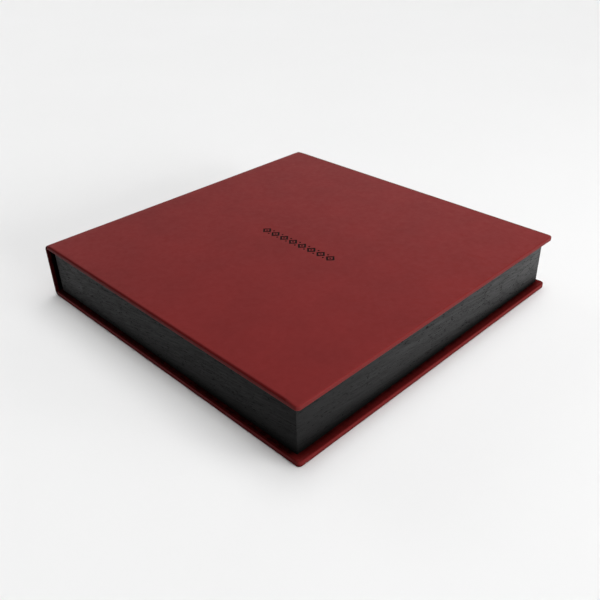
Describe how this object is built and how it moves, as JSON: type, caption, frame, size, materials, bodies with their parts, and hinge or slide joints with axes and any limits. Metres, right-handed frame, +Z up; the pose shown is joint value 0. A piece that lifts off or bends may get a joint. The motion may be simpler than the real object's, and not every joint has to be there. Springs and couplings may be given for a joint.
{
  "type": "album box",
  "caption": "Flat square book-style box: a leather-wrapped lid and spine fold open on leather joints from a black wooden tray that holds an album.",
  "frame": {"origin": "middle of the underside of the closed box", "axes": "+Z up, +X towards the fore-edge where the box opens, the spine at -X, the tail side at -Y"},
  "size_m": [0.3434, 0.339, 0.0558],
  "materials": {
    "red_leather": "matt fine grain",
    "grey_board": "raw pressed board",
    "pasted_sheet": "matt",
    "black_wood": "open-pored black stain",
    "plywood": "raw",
    "suede": "short nap",
    "ribbon": "satin",
    "nickel": "nickel plated"
  },
  "bodies": {
    "base": {"base_board": "grey_board", "base_leather": "red_leather", "base_lining": "pasted_sheet", "tray_tail_wall": "black_wood", "tray_fore_edge_wall": "black_wood", "tray_head_wall": "black_wood", "tray_spine_wall": "black_wood", "corner_tongues": "plywood", "tray_floor": "plywood", "floor_lining": "suede", "tail_wall_lining": "suede", "fore_edge_wall_lining": "suede", "head_wall_lining": "suede", "spine_wall_lining": "suede", "lift_ribbon": "ribbon", "rim_magnets": "nickel"},
    "spine": {"spine_board": "grey_board", "spine_leather": "red_leather", "spine_lining": "pasted_sheet", "lid_joint_leather": "red_leather", "base_joint_leather": "red_leather"},
    "lid": {"lid_board": "grey_board", "lid_leather": "red_leather", "lid_lining": "pasted_sheet", "lid_magnets": "nickel"}
  },
  "joints": [
    {"name": "spine_fold", "type": "hinge", "parent": "base", "child": "spine", "pos_m": [-0.17067, 0, 0.00103], "axis": [0, -1, 0], "range_deg": [0, 90], "deforming": ["base_joint_leather"]},
    {"name": "lid_fold", "type": "hinge", "parent": "spine", "child": "lid", "pos_m": [-0.17067, 0, 0.05477], "axis": [0, -1, 0], "range_deg": [0, 90], "deforming": ["lid_joint_leather"]}
  ]
}
